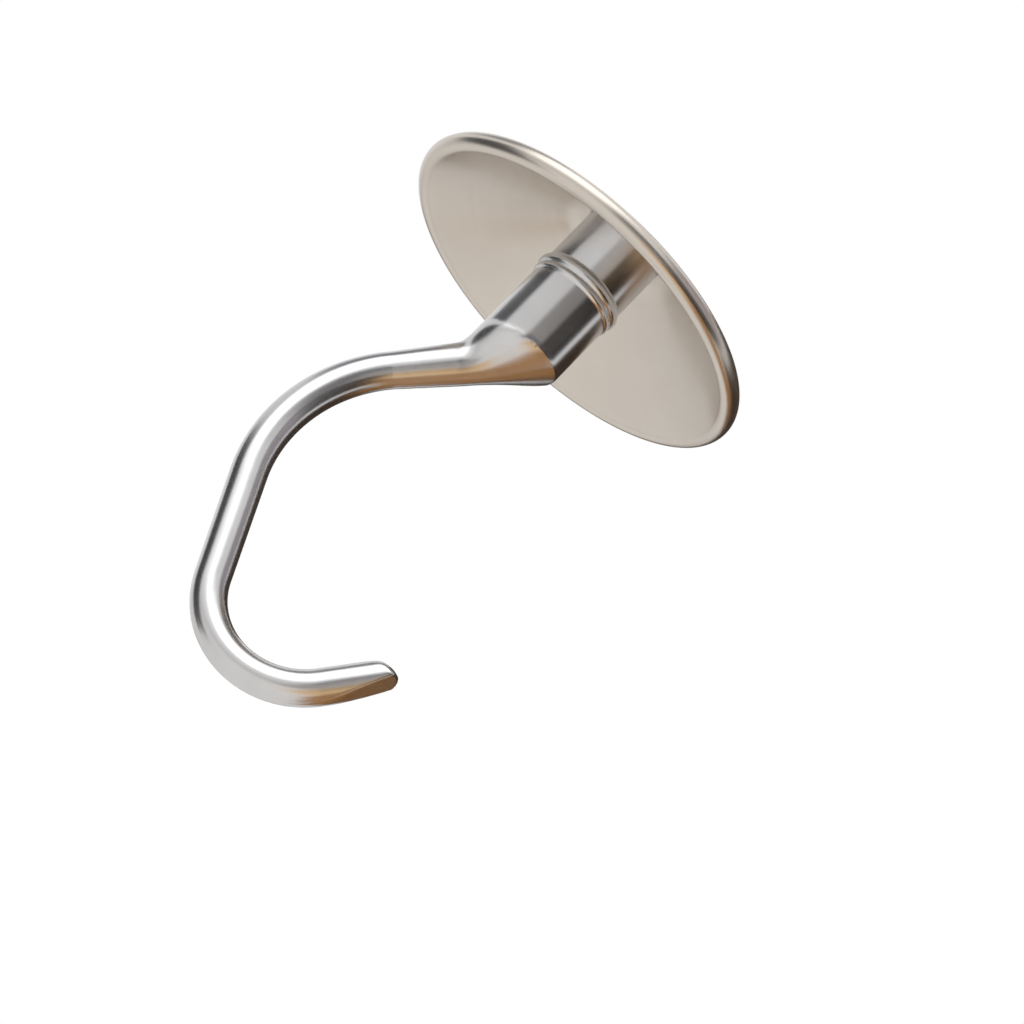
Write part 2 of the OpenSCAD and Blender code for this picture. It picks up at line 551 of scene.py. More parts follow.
@dataclass
class Skin:
    """A closed mesh skinned over a distance function on a fine grid.

    Attributes:
        distance: Signed distance at each row of points, negative inside, in millimetres.
        low: Lowest corner of the space that holds the form.
        high: Its highest corner.
        pitch: Side of the grid's cells.
        settle_rounds: How often the points are drawn onto the form.
        settle_reach: How far a round may draw a point.
        settle_step: Step over which the slope is taken for that.
        normal_step: Step over which it is taken for the normals, which eases them.
        least_slope: Least square of the slope that a round reckons with.
    """

    distance: Callable[[np.ndarray], np.ndarray]
    low: tuple[float, float, float]
    high: tuple[float, float, float]
    pitch: float = 0.4
    settle_rounds: int = 3
    settle_reach: float = 0.2
    settle_step: float = 0.02
    normal_step: float = 0.06
    least_slope: float = 0.05

    def _grid(self) -> tuple[np.ndarray, list[np.ndarray]]:
        """Samples the form on the grid, layer by layer.

        Returns:
            The distances and the three axes' stations.
        """
        lines = [np.arange(a, b + self.pitch, self.pitch) for a, b in zip(self.low, self.high)]
        values = np.empty([len(line) for line in lines], np.float32)
        x, y = np.meshgrid(lines[0], lines[1], indexing="ij")
        for k, z in enumerate(lines[2]):
            points = np.stack([x.ravel(), y.ravel(), np.full(x.size, z)], 1)
            values[:, :, k] = self.distance(points).reshape(x.shape)
        return values, lines

    def _slope(self, points: np.ndarray, step: float) -> np.ndarray:
        """The form's outward slope, by small steps to both sides.

        Args:
            points: Rows of X, Y and Z.
            step: Length of each step.

        Returns:
            The slope at each point.
        """
        parts = []
        for move in step * np.eye(3):
            rise = self.distance(points + move) - self.distance(points - move)
            parts.append(rise / (2 * step))
        return np.stack(parts, 1)

    def _crossed(self, inside: np.ndarray) -> tuple[np.ndarray, np.ndarray]:
        """Finds the cells that the skin passes through.

        Args:
            inside: For each station of the grid, whether it lies inside the form.

        Returns:
            The place of each such cell, and for every cell its number, or -1.
        """
        a, b, c = (n - 1 for n in inside.shape)
        count = np.zeros((a, b, c), np.uint8)
        for i, j, k in product((0, 1), repeat=3):
            count += inside[i : i + a, j : j + b, k : k + c]
        crossed = (count > 0) & (count < 8)
        number = np.full(crossed.shape, -1, np.int64)
        number[crossed] = np.arange(crossed.sum())
        return np.argwhere(crossed), number

    def _middles(self, values: np.ndarray, cells: np.ndarray) -> np.ndarray:
        """The middle of the places where the skin cuts the edges of each cell.

        Args:
            values: The distances on the grid.
            cells: The place of each cell.

        Returns:
            A point in each cell, as a share of its sides.
        """
        total, hits = np.zeros((len(cells), 3)), np.zeros(len(cells))
        for axis, first, second in product(range(3), (0, 1), (0, 1)):
            start = np.zeros(3, int)
            start[(axis + 1) % 3], start[(axis + 2) % 3] = first, second
            end = start.copy()
            end[axis] = 1
            a, b = (values[tuple((cells + corner).T)] for corner in (start, end))
            cut = (a < 0) != (b < 0)
            spot = np.tile(start.astype(float), (len(cells), 1))
            spot[:, axis] = np.where(cut, a / np.where(cut, a - b, 1), 0)
            total += spot * cut[:, None]
            hits += cut
        return total / hits[:, None]

    def _settle(self, points: np.ndarray) -> np.ndarray:
        """Draws the points onto the form.

        Args:
            points: Rows of X, Y and Z near the form.

        Returns:
            The points on it.
        """
        for _ in range(self.settle_rounds):
            slope = self._slope(points, self.settle_step)
            steep = np.maximum((slope * slope).sum(1), self.least_slope)[:, None]
            move = self.distance(points)[:, None] * slope / steep
            points = points - np.clip(move, -self.settle_reach, self.settle_reach)
        return points

    def _faces(self, inside: np.ndarray, number: np.ndarray) -> np.ndarray:
        """Spans a face over each edge of the grid that the skin cuts.

        Args:
            inside: For each station of the grid, whether it lies inside the form.
            number: For every cell its number, or -1.

        Returns:
            Four-sided faces that look outward.
        """
        faces = []
        for axis in range(3):
            one, two = (axis + 1) % 3, (axis + 2) % 3
            near, far = [slice(None)] * 3, [slice(None)] * 3
            near[axis], far[axis] = slice(0, -1), slice(1, None)
            cut = np.argwhere(inside[tuple(near)] != inside[tuple(far)])
            held = (cut[:, one] > 0) & (cut[:, two] > 0)
            held &= (cut[:, one] < number.shape[one]) & (cut[:, two] < number.shape[two])
            cut = cut[held]
            ring = []
            for a, b in ((-1, -1), (0, -1), (0, 0), (-1, 0)):
                cell = cut.copy()
                cell[:, one] += a
                cell[:, two] += b
                ring.append(number[tuple(cell.T)])
            quads = np.stack(ring, 1)
            inward = ~inside[tuple(cut.T)]
            quads[inward] = quads[inward][:, ::-1]
            faces.append(quads)
        return np.concatenate(faces)

    def build(self) -> tuple[np.ndarray, np.ndarray, np.ndarray]:
        """Skins the form.

        Returns:
            Points in millimetres, four-sided faces and each point's normal.
        """
        values, lines = self._grid()
        inside = values < 0
        cells, number = self._crossed(inside)
        corner = np.array([line[0] for line in lines])
        points = self._settle((cells + self._middles(values, cells)) * self.pitch + corner)
        normals = self._slope(points, self.normal_step)
        normals /= np.linalg.norm(normals, axis=1)[:, None]
        return points, self._faces(inside, number), normals


def mesh_piece(
    name: str, points: np.ndarray, faces: np.ndarray, normals: np.ndarray | None
) -> bpy.types.Object:
    """Makes a smooth object in metres from points in millimetres.

    Args:
        name: The piece's name.
        points: Its points.
        faces: Its four-sided faces.
        normals: Each point's normal, or None to let the faces give them.

    Returns:
        The object, linked to the scene.
    """
    mesh = bpy.data.meshes.new(name)
    mesh.from_pydata((points * MM).tolist(), [], faces.tolist())
    mesh.validate()
    mesh.shade_smooth()
    if normals is not None:
        mesh.normals_split_custom_set_from_vertices(normals.tolist())
    piece = bpy.data.objects.new(name, mesh)
    bpy.context.scene.collection.objects.link(piece)
    return piece


@dataclass
class DoughHook:
    """The casting: turned hub with its collar, oval root, bent rod and ground tip.

    Lengths are in millimetres and angles in degrees, as in the CAD. Each part of the form is
    a signed distance, which is negative inside.
    """

    node: str = "hook"

    # Turned hub, its spigot and the peened lip over the guard
    hub_r: float = 10.0
    heel_z: float = -37.3
    throat_z: float = -39.5
    seat_z: float = -2.6
    shoulder_ease: float = 0.3
    spigot_r: float = 8.3
    lip_r: float = 9.0
    lip_h: float = 1.6
    lip_round: float = 0.7
    lip_ease: float = 0.3
    upper_bead: Bead = Bead(10.9, -18.25, 1.45)
    lower_bead: Bead = Bead(10.5, -20.5, 0.8)
    bead_ease: float = 0.35

    # Drive socket and bayonet slot. The slot's cut starts between the axis and the wall.
    socket_r: float = 6.25
    socket_depth: float = 27.0
    slot_r: float = 2.0
    slot_start_r: float = 3.0
    leg_z: float = -9.0
    slot_turn: float = 42.0
    slot_catch: float = 1.4
    socket_ease: float = 0.5

    # Rod, from the arm to the straight before the tip
    arm_z: float = -40.5
    arm_root_r: float = 5.25
    shoulder_rod_r: float = 4.1
    rod_r: float = 4.0
    arm_angle: float = 43.0
    arm_length: float = 25.9
    shoulder_r: float = 35.8
    shoulder_turn: float = 67.2
    shank_length: float = 25.3
    belly_r: float = 20.2
    belly_turn: float = 115.9

    # Tip, rounded off by a ball and ground flat. It laps into the bend before it.
    tip_length: float = 10.5
    tip_ease: float = 0.5
    tip_lap: float = 0.5
    nose_drop: float = 2.0
    nose_r: float = 6.02
    flat_length: float = 15.0
    flat_depth: float = 3.0

    # Root between hub and arm. It laps up into the hub, and its rings tuck in there, so that
    # hub and root meet in one clean line.
    root_length: float = 11.5
    throat_corner_z: float = -44.3
    root_rings: int = 49
    root_lap: float = 1.2
    root_ease: float = 0.55
    tuck_share: float = 1.3
    taper_start: float = 1.5
    taper_end: float = 2.5

    # Space in which root, hub and arm are worked out together, and what counts as far from it
    root_x: tuple[float, float] = (-18.0, 16.0)
    root_z: tuple[float, float] = (-59.0, -31.0)
    far: float = 9.0

    # Space that holds the whole casting
    low: tuple[float, float, float] = (-32.6, -12.0, -138.7)
    high: tuple[float, float, float] = (32.6, 12.0, 1.2)

    # How far the flanks of the lathe's rings tip the surface down, below and above the collar
    lower_flank: float = 0.33
    upper_flank: float = 0.48
    flank_change: float = 2.0

    # Where the turned finish starts at the hub's foot, and where a bead's own finish does
    turned_change: float = 1.6
    turned_at_foot: float = 0.3
    bead_start: float = 0.1
    bead_change: float = 0.3

    # The lay of the finish follows the middle of hub and rod, which is taken at so many
    # stations on each stretch. The hub's stretch stops a little above the throat.
    lay_gap: float = 2.0
    lay_stations: int = 60
    lay_sharpness: float = 2.0
    lay_batches: int = 40

    def __post_init__(self) -> None:
        """Lays the stretches of rod end to end and stands the root's rings."""
        heading = math.radians(self.arm_angle)
        start = np.array([0.0, self.arm_z]) + self.root_length * along(heading)
        start_r = self._arm_radius(self.root_length)
        rest = self.arm_length - self.root_length
        self.arm = Straight(start, heading, rest, start_r, self.shoulder_rod_r)
        turn = math.radians(self.shoulder_turn)
        self.shoulder = Bend(
            self.arm.end, heading, turn, self.shoulder_r, self.shoulder_rod_r
        )
        heading = self.shoulder.last
        self.shank = Straight(
            self.shoulder.end, heading, self.shank_length, self.shoulder_rod_r, self.rod_r
        )
        turn = math.radians(self.belly_turn)
        self.belly = Bend(self.shank.end, heading, turn, self.belly_r, self.rod_r)
        self.tip = Straight(
            self.belly.end, self.belly.last, self.tip_length + self.nose_r, self.rod_r, self.rod_r
        )
        self.rings = self._rings()

    @property
    def heel_slope(self) -> float:
        """Rise of the cut across the heel for each millimetre across the hub."""
        return (self.heel_z - self.throat_z) / (2 * self.hub_r)

    def _arm_radius(self, s: float) -> float:
        """Radius of the arm's taper at a distance from the hub's axis."""
        return self.arm_root_r + (self.shoulder_rod_r - self.arm_root_r) * s / self.arm_length

    def _rings(self) -> np.ndarray:
        """Stands the root's oval rings between the throat's fillet and the straight keel.

        Returns:
            For each ring, X and Z of its inner point and of its outer point, and half its width.
        """
        t = np.linspace(0, 1, self.root_rings)[:, None]
        end_r = self.arm.start_r
        side = end_r * across(self.arm.heading)
        throat = np.array([-self.hub_r, self.throat_z])
        corner = np.array([-self.hub_r, self.throat_corner_z])
        inner = (1 - t) ** 2 * throat + 2 * t * (1 - t) * corner + t * t * (self.arm.start - side)
        heel = np.array([self.hub_r, self.heel_z])
        outer = heel + (self.arm.start + side - heel) * t
        width = end_r + (self.hub_r - end_r) * (1 - t**self.taper_start) ** self.taper_end
        return np.concatenate([inner, outer, width], 1)

    def _root(self, p: np.ndarray, y: np.ndarray) -> np.ndarray:
        """Distance to the root: oval rings between the throat and the keel.

        Args:
            p: X and Z of each point.
            y: Its Y.

        Returns:
            One signed distance for each point, the same far one for those far from the root.
        """
        out = np.full(len(p), self.far)
        by_x = (p[:, 0] > self.root_x[0]) & (p[:, 0] < self.root_x[1])
        near = np.where(by_x & self._at_root(p[:, 1]))[0]
        if not len(near):
            return out
        p, y = p[near], y[near]
        inner, outer = self.rings[:, 0:2], self.rings[:, 2:4]
        reach = (outer - inner) / np.linalg.norm(outer - inner, axis=1)[:, None]
        normal = np.stack([reach[:, 1], -reach[:, 0]], 1)
        past = p @ normal.T - (inner * normal).sum(1)
        # Each point's section is the oval that stands there between its two nearest rings
        first = np.clip((past > 0).sum(1) - 1, 0, self.root_rings - 2)
        rows = np.arange(len(p))
        a, b = past[rows, first], past[rows, first + 1]
        share = np.clip(a / np.where(np.abs(a - b) < TINY, 1, a - b), 0, 1)[:, None]
        section = self.rings[first] + (self.rings[first + 1] - self.rings[first]) * share
        inner, outer, half_width = section[:, 0:2], section[:, 2:4], section[:, 4]
        half_height = np.linalg.norm(outer - inner, axis=1) / 2
        u = ((p - (inner + outer) / 2) * (outer - inner)).sum(1) / (2 * half_height)
        ratio = np.sqrt((u / half_height) ** 2 + (y / half_width) ** 2)
        steep = np.sqrt((u / half_height**2) ** 2 + (y / half_width**2) ** 2) + TINY
        tuck = self.tuck_share * self.heel_slope * np.maximum(-past[:, 0], 0)
        body = ratio * (ratio - 1) / steep + tuck
        out[near] = np.maximum(np.maximum(body, -past[:, 0] - self.root_lap), past[:, -1])
        return out

    def _at_root(self, z: np.ndarray) -> np.ndarray:
        """Whether each height is one of the root's."""
        return (z > self.root_z[0]) & (z < self.root_z[1])

    def _eased_root(self, points: np.ndarray) -> np.ndarray:
        """Distance to hub, root and arm together, with the edges between them eased.

        Args:
            points: Rows of X, Y and Z.

        Returns:
            For each point the mean of the distances a small step to every side of it.
        """
        steps = self.root_ease * np.concatenate([np.eye(3), -np.eye(3)])
        total = np.zeros(len(points))
        for step in steps:
            moved = points + step
            p, y = moved[:, ::2], moved[:, 1]
            joined = np.minimum(self._hub(p, y), self._root(p, y))
            total += np.minimum(joined, self.arm.distance(p, y))
        return total / len(steps)

    def _hub(self, p: np.ndarray, y: np.ndarray) -> np.ndarray:
        """Distance to the turned hub, with its spigot, lip and two beads, cut across the heel.

        Args:
            p: X and Z of each point.
            y: Its Y.

        Returns:
            One signed distance for each point.
        """
        x, z = p[:, 0], p[:, 1]
        r = np.hypot(x, y)
        side, top = r - self.hub_r, z - self.seat_z
        deepest = np.maximum(side, top)
        eased = rounded(side, top, self.shoulder_ease)
        body = np.where(deepest < -self.shoulder_ease, deepest, eased)
        spigot = np.maximum(r - self.spigot_r, z + self.lip_round)
        half = self.lip_h / 2
        lip = rounded(r - self.lip_r, np.abs(z + half) - half, self.lip_round)
        hub = soft_min(body, np.minimum(spigot, lip), self.lip_ease)
        for bead in (self.upper_bead, self.lower_bead):
            ring = np.hypot(np.maximum(r - bead.reach + bead.radius, 0), z - bead.z) - bead.radius
            hub = soft_min(hub, ring, self.bead_ease)
        rise = math.atan(self.heel_slope)
        heel = (x - self.hub_r) * math.sin(rise) - (z - self.heel_z) * math.cos(rise)
        return np.maximum(hub, heel)

    def _tip(self, p: np.ndarray, y: np.ndarray) -> np.ndarray:
        """Distance to the tip: straight rod, rounded off and ground flat on its outer side.

        Args:
            p: X and Z of each point.
            y: Its Y.

        Returns:
            One signed distance for each point.
        """
        # Along the rod grows h, and s towards the tip's outer side
        reach = p - self.tip.start
        h = reach @ along(self.tip.heading)
        s = -(reach @ across(self.tip.heading))
        past = h - self.tip_length
        rod = np.hypot(s, y) - self.rod_r
        nose = np.sqrt((s - self.nose_drop) ** 2 + y * y + past**2) - self.nose_r
        tip = soft_max(rod, np.minimum(past, nose), self.tip_ease)
        lean = math.atan2(self.flat_depth, self.flat_length)
        rise = s - self.rod_r + self.flat_depth
        flat = rise * math.cos(lean) + (past - self.nose_r) * math.sin(lean)
        return np.maximum(soft_max(tip, flat, self.tip_ease), -self.tip_lap - h)

    def _cuts(self, p: np.ndarray, y: np.ndarray) -> np.ndarray:
        """Distance to the drive socket and the bayonet slot together.

        Args:
            p: X and Z of each point.
            y: Its Y.

        Returns:
            One signed distance for each point, negative in the hollow.
        """
        x, z = p[:, 0], p[:, 1]
        r = np.hypot(x, y)
        socket = np.maximum(r - self.socket_r, -self.socket_depth - z)
        turn = np.arctan2(y, x) - math.pi / 2
        turn = np.where(turn < -math.pi, turn + 2 * math.pi, turn)
        # The slot is drawn on the hub's wall, where s grows round it from the slot's drop
        s, end = turn * self.hub_r, math.radians(self.slot_turn) * self.hub_r
        drop = np.hypot(s, np.minimum(z - self.leg_z, 0))
        leg = np.hypot(s - np.clip(s, 0, end), z - self.leg_z)
        top = self.leg_z + self.slot_catch
        catch = np.hypot(s - end, z - np.clip(z, self.leg_z, top))
        slot = np.minimum(np.minimum(drop, leg), catch) - self.slot_r
        return np.minimum(socket, np.maximum(slot, self.slot_start_r - r))

    def distance(self, points: np.ndarray) -> np.ndarray:
        """Signed distance to the whole casting.

        Args:
            points: Rows of X, Y and Z in millimetres.

        Returns:
            One distance for each row.
        """
        p, y = points[:, ::2], points[:, 1]
        body = self._hub(p, y)
        root = self._at_root(p[:, 1])
        if root.any():
            body[root] = self._eased_root(points[root])
        body[~root] = np.minimum(body[~root], self.arm.distance(p[~root], y[~root]))
        for stretch in (self.shoulder, self.shank, self.belly):
            body = np.minimum(body, stretch.distance(p, y))
        body = np.minimum(body, self._tip(p, y))
        return soft_max(body, -self._cuts(p, y), self.socket_ease)

    def build(self) -> bpy.types.Object:
        """Skins the casting, hides the CAD's hook and fixes the piece to the body.

        Returns:
            The piece, with its finish.
        """
        piece = mesh_piece("hook_casting", *Skin(self.distance, self.low, self.high).build())
        self.dress(piece)
        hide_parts(self.node)
        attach(piece, BODY)
        return piece

    def _lay(self, points: np.ndarray) -> np.ndarray:
        """The heading of the finish, along the middle of hub and rod.

        Args:
            points: The casting's points, in millimetres.

        Returns:
            A direction at each point, smoothed over the stretches that are near it.
        """
        share = np.linspace(0, 1, self.lay_stations)
        hub_length = -self.throat_z - self.lay_gap
        hub = Straight(np.zeros(2), 0.0, hub_length, self.hub_r, self.hub_r)
        stretches = (hub, self.arm, self.shoulder, self.shank, self.belly, self.tip)
        lines, headings = zip(*(stretch.line(share) for stretch in stretches))
        places, steps = np.concatenate(lines), along(np.concatenate(headings))
        lay = np.zeros((len(points), 3))
        for batch in np.array_split(np.arange(len(points)), self.lay_batches):
            away = np.linalg.norm(points[batch, None, ::2] - places[None], axis=2)
            pull = np.exp(-self.lay_sharpness * (away - away.min(1)[:, None]))
            lay[batch, ::2] = pull @ steps
        return lay / np.linalg.norm(lay, axis=1)[:, None]

    def dress(self, piece: bpy.types.Object) -> None:
        """Marks the lay of the finish on the casting and gives it its steel.

        Args:
            piece: The skinned casting.
        """
        mesh = piece.data
        points = np.empty(len(mesh.vertices) * 3)
        mesh.vertices.foreach_get("co", points)
        points = points.reshape(-1, 3) / MM
        x, y, z = points.T
        radius = np.hypot(x, y)
        foot = self.heel_z - (self.hub_r - x) * self.heel_slope
        turned = np.clip((z - foot) / self.turned_change + self.turned_at_foot, 0, 1)
        past = radius - self.hub_r - self.bead_start
        bead = np.clip(past / self.bead_change, 0, 1) * (z > self.heel_z)
        turned *= 1 - bead
        upper = np.clip((z - self.upper_bead.z) / self.flank_change + 0.5, 0, 1)
        flank = turned * (self.lower_flank + (self.upper_flank - self.lower_flank) * upper)
        around = np.stack([-y, x, np.zeros(len(x))], 1) / np.maximum(radius, 1)[:, None]
        lay = self._lay(points)
        lay += (around - lay) * bead[:, None]
        for mark, kind, key, values in (
            (Mark.GRAIN, "FLOAT_VECTOR", "vector", lay.ravel()),
            (Mark.TURNED, "FLOAT", "value", turned),
            (Mark.FLANK, "FLOAT", "value", flank),
        ):
            mesh.attributes.new(mark.value, kind, "POINT").data.foreach_set(key, values)
        mesh.materials.append(BuffedSteel().build())


@dataclass
class Guard:
    """The sheet disc: flat seat, sloping dish and a rim rolled over on its outside.

    Lengths are in millimetres and angles in degrees, as in the CAD. The corner between seat
    and dish is eased with a wide bend, as a press leaves it.
    """

    node: str = "guard"
    hole_r: float = 8.4
    seat_r: float = 12.5
    seat_z: float = -2.6
    seat_bend: float = 10.0
    seat_margin: float = 0.5
    sheet: float = 1.0
    rim_r: float = 2.3
    rim_centre: tuple[float, float] = (42.2, -18.2)
    rim_inset: float = 0.02
    rim_gap: float = 0.4
    notch_half: float = 2.0
    notch_reach: float = 9.9
    crease: float = 35.0

    # Steps of the section and round the disc. The dish starts just past the seat's bend.
    dish_start_share: float = 0.09
    dish_steps: int = 40
    bend_steps: int = 9
    roll_steps: int = 60
    turns: int = 360

    def _roll(self, slope: float) -> tuple[np.ndarray, np.ndarray]:
        """The rolled rim's two sides, from the dish round to the sheet's edge and back.

        Args:
            slope: The dish's slope, in radians.

        Returns:
            Points of radius and height on the outer side, and on the inner side.
        """
        start = math.atan2(-math.cos(slope), -math.sin(slope))
        stop = math.pi - math.asin(self.rim_gap / self.rim_r)
        turn = np.linspace(start, stop, self.roll_steps)
        ring = np.stack([np.cos(turn), np.sin(turn)], 1)
        centre = np.array(self.rim_centre)
        return centre + self.rim_r * ring, centre + (self.rim_r - self.sheet) * ring[::-1]

    def _outline(self) -> np.ndarray:
        """The sheet's closed section: hole, seat, dish and rolled rim, underside first.

        Returns:
            Points of radius and height.
        """
        seat = np.array([self.seat_r, self.seat_z])
        reach = np.array(self.rim_centre) - seat
        far, roll = float(np.linalg.norm(reach)), self.rim_r - self.rim_inset
        slope = math.asin(roll / far) - math.atan2(reach[1], reach[0])
        length = math.sqrt(far * far - roll * roll)
        down = np.array([math.cos(slope), -math.sin(slope)])
        up = np.array([math.sin(slope), math.cos(slope)])

        bend_r = self.seat_r - self.seat_bend * math.tan(slope / 2)
        centre = np.array([bend_r, self.seat_z - self.seat_bend])
        lean = np.linspace(0, slope, self.bend_steps)[1:]
        arc = np.stack([np.sin(lean), np.cos(lean)], 1)
        under = centre + self.seat_bend * arc
        top = centre + (self.seat_bend + self.sheet) * arc[::-1]

        dish = np.linspace(self.dish_start_share, 1, self.dish_steps)[:, None]
        face = seat + down * length * dish
        outer, inner = self._roll(slope)
        # The roll's inner side ends where the sheet's upper side starts, which therefore goes
        # on from its third point
        back = face[::-1][2:] + self.sheet * up
        radii = (self.hole_r, bend_r - self.seat_margin, bend_r)
        begin = np.array([[radius, self.seat_z] for radius in radii])
        close = begin[::-1] + np.array([0, self.sheet])
        return np.concatenate([begin, under, face, outer, inner, back, top, close])

    def build(self) -> bpy.types.Object:
        """Spins the section, hides the CAD's guard and fixes the disc to the body.

        Returns:
            The piece, with its finish.
        """
        outline = self._outline()
        n = len(outline)
        turn = np.linspace(0, 2 * math.pi, self.turns, endpoint=False)
        radius = np.tile(outline[:, 0], (self.turns, 1))
        by_notch = np.abs(np.cos(turn)) * self.notch_reach < self.notch_half
        notch = np.where(by_notch, np.maximum(self.notch_reach * np.sin(turn), 0), 0)
        hole = outline[:, 0] <= self.hole_r
        radius[:, hole] = np.maximum(self.hole_r, notch)[:, None]
        x, y = radius * np.cos(turn)[:, None], radius * np.sin(turn)[:, None]
        z = np.tile(outline[:, 1], (self.turns, 1))
        points = np.stack([x.ravel(), y.ravel(), z.ravel()], 1)

        steps, places = np.arange(self.turns)[:, None], np.arange(n)[None, :]
        a, b = steps * n, (steps + 1) % self.turns * n
        i, j = places, (places + 1) % n
        faces = np.stack([a + i, a + j, b + j, b + i], 2).reshape(-1, 4)
        piece = mesh_piece("guard_disc", points, faces, None)
        piece.data.set_sharp_from_angle(angle=math.radians(self.crease))
        self.dress(piece)
        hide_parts(self.node)
        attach(piece, BODY)
        return piece

    def dress(self, piece: bpy.types.Object) -> None:
        """Gives the disc its satin sheet."""
        piece.data.materials.append(SatinSteel().build())


@dataclass(frozen=True)
class Card:
    """A glowing card at the side of the set, which only polished metal sees. It shows its fixed
    colour whatever the lamps do, as a painted reflection of the room round the hook.

    Attributes:
        name: What it is.
        azimuth: Where its middle stands, in degrees round the hook; 0 is in front.
        width: How wide it looks, in degrees.
        low: Elevation of its lower edge, in degrees.
        high: Elevation of its upper edge.
        colour: Its sRGB colour.
        away: How far off it stands, in metres.
    """

    name: str
    azimuth: float
    width: float
    low: float
    high: float
    colour: str
    away: float = 0.5


@dataclass(frozen=True)
class Softbox:
    """A square soft lamp.

    Attributes:
        name: What it is.
        place: Where it hangs, in metres.
        size: Its side, in metres.
        power: Its power in watts.
    """

    name: str
    place: tuple[float, float, float]
    size: float
    power: float


@dataclass
class Studio:
    """A pale floor far below the hook, a white surround, soft lamps and cards round the set.

    The cards glow at fixed colours and give the polished hub and rod, as painted reflections,
    the grey, black, brown and tan that they would mirror in a dark, warm room. They overlap a
    little, and the warm ones stand in front of the others.
    """

    floor_z: float = -0.62
    floor_size: float = 8.0
    floor_colour: str = "#f2f1ef"
    floor_corners: int = 96
    white: str = "#ffffff"
    ambient: float = 0.85
    middle_z: float = -0.03
    aim_z: float = -0.07
    card_columns: int = 16
    card_rows: int = 8
    lamps: tuple[Softbox, ...] = (
        Softbox("key_softbox", (-0.5, -0.9, 0.7), 1.3, 6.0),
        Softbox("side_softbox", (1.1, -0.5, 0.35), 0.9, 2.5),
        Softbox("back_softbox", (0.1, 1.2, 0.8), 1.2, 4.0),
    )
    cards: tuple[Card, ...] = (
        Card("grey_card", -82, 44, -45, 6, "#48484c"),
        Card("high_grey_card", -86, 40, 26, 65, "#8c8c92"),
        Card("pale_card", 23, 40, -12, 13, "#6c6c71"),
        Card("low_pale_card", 23, 40, -33, -12, "#bcb7b2"),
        Card("black_card", 69, 52, -34, 10, "#141212"),
        Card("mauve_card", 70, 54, 10, 62, "#a09aa0"),
        Card("brown_card", 130, 42, -26, 60, "#3e3024"),
        Card("rear_brown_card", 157, 14, -6, 60, "#3e3024"),
        Card("high_brown_card", 181, 34, -4, 60, "#33302d"),
        Card("end_card", -163, 26, -12, 40, "#7a6048"),
        Card("warm_card", 49, 46, -51, -33, "#ffd49a", 0.45),
        Card("tan_card", 100, 56, -56, -32, "#ba864c", 0.45),
        Card("far_tan_card", 139, 26, -46, -14, "#a8763e", 0.45),
        Card("edge_tan_card", 158, 14, -26, -6, "#6e4c2a", 0.45),
    )

    def build(self) -> None:
        """Lays the floor, sets the surround, hangs the lamps and stands the cards."""
        self._floor()
        self._surround()
        for lamp in self.lamps:
            self._lamp(lamp)
        for card in self.cards:
            self._card(card)

    def _floor(self) -> None:
        """Lays a round pale floor that takes the hook's shadow."""
        bpy.ops.mesh.primitive_circle_add(
            vertices=self.floor_corners,
            radius=self.floor_size / 2,
            fill_type="NGON",
            location=(0, 0, self.floor_z),
        )
        floor = bpy.context.object
        floor.name = "studio_floor"
        material, tree = new_material("pale_matt_floor")
        matt = add_node(tree, "ShaderNodeBsdfDiffuse", {"Color": linear(self.floor_colour)})
        add_node(tree, "ShaderNodeOutputMaterial", {"Surface": matt.outputs[0]})
        floor.data.materials.append(material)

    def _surround(self) -> None:
        """Makes the surround: white to the camera and to metal, softer as light."""
        world = bpy.data.worlds.new("studio_surround")
        world.use_nodes = True
        bpy.context.scene.world = world
        tree = world.node_tree
        tree.nodes.clear()
        ray = add_node(tree, "ShaderNodeLightPath").outputs
        either = {0: ray["Is Glossy Ray"], 1: ray["Is Transmission Ray"]}
        mirrored = add_node(tree, "ShaderNodeMath", either, operation="MAXIMUM")
        either = {0: ray["Is Camera Ray"], 1: mirrored.outputs[0]}
        seen = add_node(tree, "ShaderNodeMath", either, operation="MAXIMUM")
        colour = linear(self.white)
        light = add_node(tree, "ShaderNodeBackground", {"Color": colour, "Strength": self.ambient})
        white = add_node(tree, "ShaderNodeBackground", {"Color": colour, "Strength": 1.0})
        sides = {0: seen.outputs[0], 1: light.outputs[0], 2: white.outputs[0]}
        both = add_node(tree, "ShaderNodeMixShader", sides)
        add_node(tree, "ShaderNodeOutputWorld", {"Surface": both.outputs[0]})

    def _card(self, card: Card) -> None:
        """Stands one curved card that only mirrored rays meet.

        Args:
            card: Where it stands and its colour.
        """
        rows, columns = range(self.card_rows), range(self.card_columns)
        corners = []
        for i, j in product(range(len(rows) + 1), range(len(columns) + 1)):
            rise = math.radians(card.low + (card.high - card.low) * i / len(rows))
            turn = math.radians(card.azimuth + card.width * (j / len(columns) - 0.5))
            flat = card.away * math.cos(rise)
            height = self.middle_z + card.away * math.sin(rise)
            corners.append((flat * math.sin(turn), -flat * math.cos(turn), height))
        step = len(columns) + 1
        starts = [i * step + j for i, j in product(rows, columns)]
        faces = [(k, k + 1, k + step + 1, k + step) for k in starts]
        mesh = bpy.data.meshes.new(card.name)
        mesh.from_pydata(corners, [], faces)
        mesh.shade_smooth()
        stand = bpy.data.objects.new(card.name, mesh)
        bpy.context.scene.collection.objects.link(stand)
        material, tree = new_material(card.name)
        # The card glows at its fixed colour and no lamp lights it: a painted reflection for
        # polished metal
        glow = add_node(
            tree, "ShaderNodeEmission", {"Color": linear(card.colour), "Strength": 1.0}
        )
        add_node(tree, "ShaderNodeOutputMaterial", {"Surface": glow.outputs[0]})
        mesh.materials.append(material)
        for kind in ("camera", "diffuse", "shadow", "transmission", "volume_scatter"):
            setattr(stand, f"visible_{kind}", False)

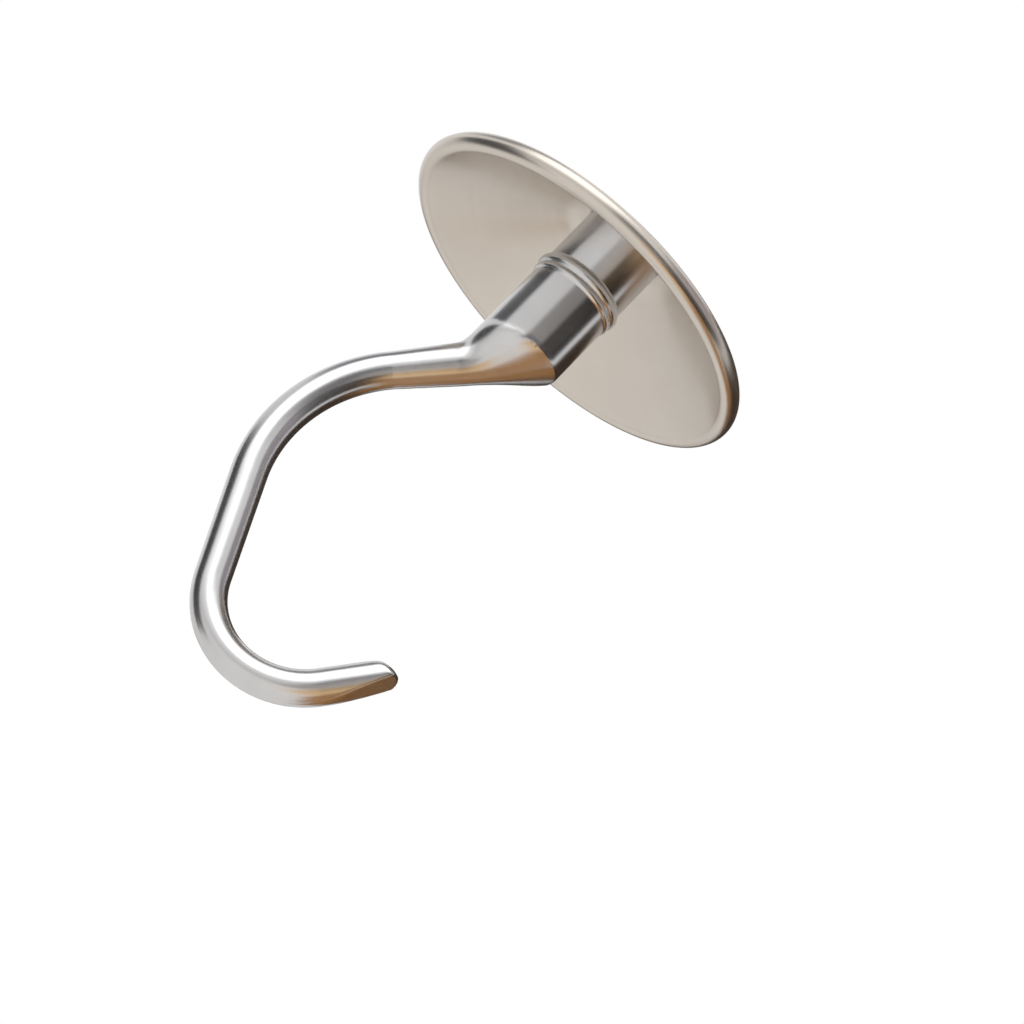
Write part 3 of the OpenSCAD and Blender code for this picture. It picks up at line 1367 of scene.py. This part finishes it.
    def _lamp(self, lamp: Softbox) -> None:
        """Hangs one square soft lamp that faces the hook.

        Args:
            lamp: Where it hangs, its size and its power.
        """
        light = bpy.data.lights.new(lamp.name, "AREA")
        light.shape = "SQUARE"
        light.size = lamp.size
        light.energy = lamp.power
        stand = bpy.data.objects.new(lamp.name, light)
        bpy.context.scene.collection.objects.link(stand)
        stand.location = lamp.place
        aim = Vector((0, 0, self.aim_z)) - Vector(lamp.place)
        stand.rotation_euler = aim.to_track_quat("-Z", "Y").to_euler()


@dataclass
class Viewpoint:
    """The photograph's viewing angle, as fitted to the outlines of guard, hub and rod.

    Angles are in degrees and the distance to the hook's origin is in metres.
    """

    azimuth: float = 17.993
    elevation: float = -24.876
    roll: float = 44.322
    distance: float = 1.150
    focal_px: float = 5263.5
    origin_px: tuple[float, float] = (630.4, 237.5)
    sensor_mm: float = 36.0
    nearest: float = 0.01
    farthest: float = 50.0

    def build(self) -> None:
        """Makes the camera and sets it as the scene's own."""
        a, e, r = (math.radians(angle) for angle in (self.azimuth, self.elevation, self.roll))
        right = Vector((math.cos(a), math.sin(a), 0))
        back = Vector((math.sin(a) * math.cos(e), -math.cos(a) * math.cos(e), math.sin(e)))
        up = back.cross(right)
        side = right * math.cos(r) + up * math.sin(r)
        top = up * math.cos(r) - right * math.sin(r)
        level = Matrix((side, top, back)).transposed().to_quaternion()
        half = PICTURE_PX / 2
        ray = Vector((self.origin_px[0] - half, half - self.origin_px[1], -self.focal_px))
        turn = ray.rotation_difference(Vector((0, 0, -1)))
        data = bpy.data.cameras.new("photo_camera")
        data.sensor_width = self.sensor_mm
        data.lens = self.sensor_mm * self.focal_px / PICTURE_PX
        data.clip_start, data.clip_end = self.nearest, self.farthest
        camera = bpy.data.objects.new("photo_camera", data)
        bpy.context.scene.collection.objects.link(camera)
        camera.rotation_mode = "QUATERNION"
        camera.rotation_quaternion = level @ turn
        camera.location = back * self.distance
        bpy.context.scene.camera = camera


def main() -> None:
    """Builds the scene in order and reports each piece."""
    logging.basicConfig(level=logging.INFO, format="%(message)s")
    bpy.context.scene.view_settings.view_transform = "Standard"
    Viewpoint().build()
    LOG.info("camera stands at the photograph's angle")
    Studio().build()
    LOG.info("studio built")
    for piece in (DoughHook().build(), Guard().build()):
        LOG.info("%s: %d faces", piece.name, len(piece.data.polygons))


if __name__ == "__main__":
    main()
